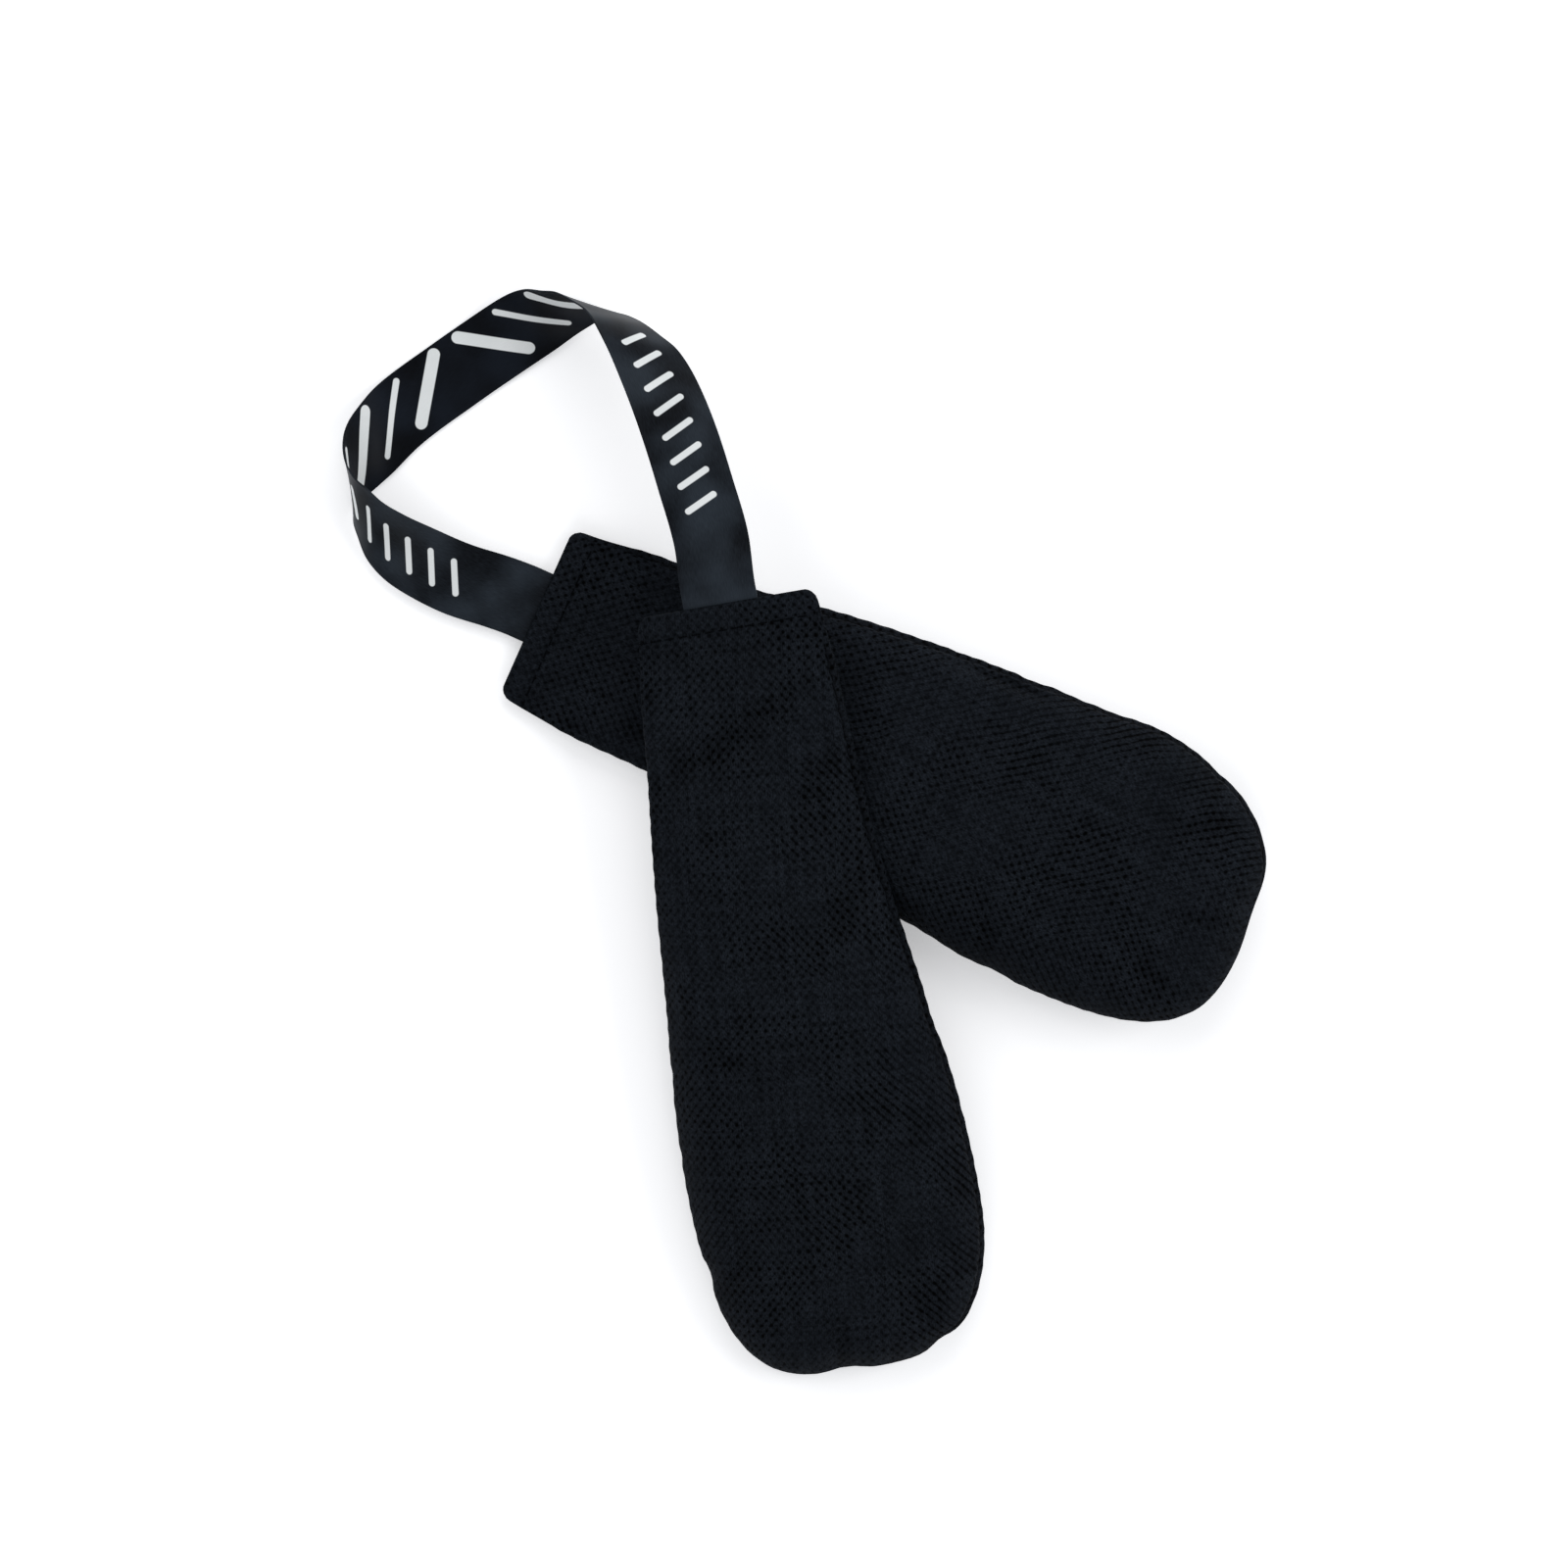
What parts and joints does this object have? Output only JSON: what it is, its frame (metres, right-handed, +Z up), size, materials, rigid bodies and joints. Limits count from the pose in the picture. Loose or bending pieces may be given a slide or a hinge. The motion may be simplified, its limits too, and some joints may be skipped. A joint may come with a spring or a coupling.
{
  "type": "pair of ribbon-linked deodoriser pouches",
  "caption": "Granule-filled black fabric pouches joined by a printed satin ribbon, for drying and freshening gloves or shoes and for hanging up by the ribbon.",
  "frame": {"origin": "on the table under the middle of the pair as it lies", "axes": "+Z up from the table, +Y away from the pouches' rounded ends towards the ribbon, +X to the right seen from above"},
  "size_m": [0.2492, 0.2913, 0.0302],
  "materials": {
    "woven_fabric": "matte plain weave",
    "sewing_thread": "soft sheen",
    "satin_ribbon": "satin",
    "liner": "matte non-woven",
    "granules": "matte charcoal"
  },
  "bodies": {
    "ribbon_loop": {"ribbon_loop": "satin_ribbon"},
    "rear_leg": {"ribbon_rear_leg": "satin_ribbon"},
    "front_leg": {"ribbon_front_leg": "satin_ribbon"},
    "rear_pouch": {"rear_pouch_top_panel": "woven_fabric", "rear_pouch_bottom_panel": "woven_fabric", "rear_pouch_seam_thread": "sewing_thread", "rear_pouch_mouth_stitches": "sewing_thread", "rear_pouch_liner": "liner", "rear_pouch_granules": "granules", "rear_ribbon_tail": "satin_ribbon"},
    "front_pouch": {"front_pouch_top_panel": "woven_fabric", "front_pouch_bottom_panel": "woven_fabric", "front_pouch_seam_thread": "sewing_thread", "front_pouch_mouth_stitches": "sewing_thread", "front_pouch_liner": "liner", "front_pouch_granules": "granules", "front_ribbon_tail": "satin_ribbon"}
  },
  "joints": [
    {"name": "rear_turn", "type": "hinge", "parent": "ribbon_loop", "child": "rear_leg", "pos_m": [-0.1208, 0.0898, 0.0098], "axis": [0, 0, 1], "range_deg": [0, 40]},
    {"name": "rear_mouth_bend", "type": "hinge", "parent": "rear_leg", "child": "rear_pouch", "pos_m": [-0.07302, 0.05997, 0.00295], "axis": [0.4067, 0.9135, 0], "range_deg": [0, 90]},
    {"name": "front_turn", "type": "hinge", "parent": "ribbon_loop", "child": "front_leg", "pos_m": [-0.0522, 0.1394, 0.015], "axis": [0, 0, 1], "range_deg": [-45, 0]},
    {"name": "front_mouth_bend", "type": "hinge", "parent": "front_leg", "child": "front_pouch", "pos_m": [-0.02096, 0.06248, 0.02851], "axis": [0.9842, 0.1693, 0.052], "range_deg": [-90, 0]}
  ]
}
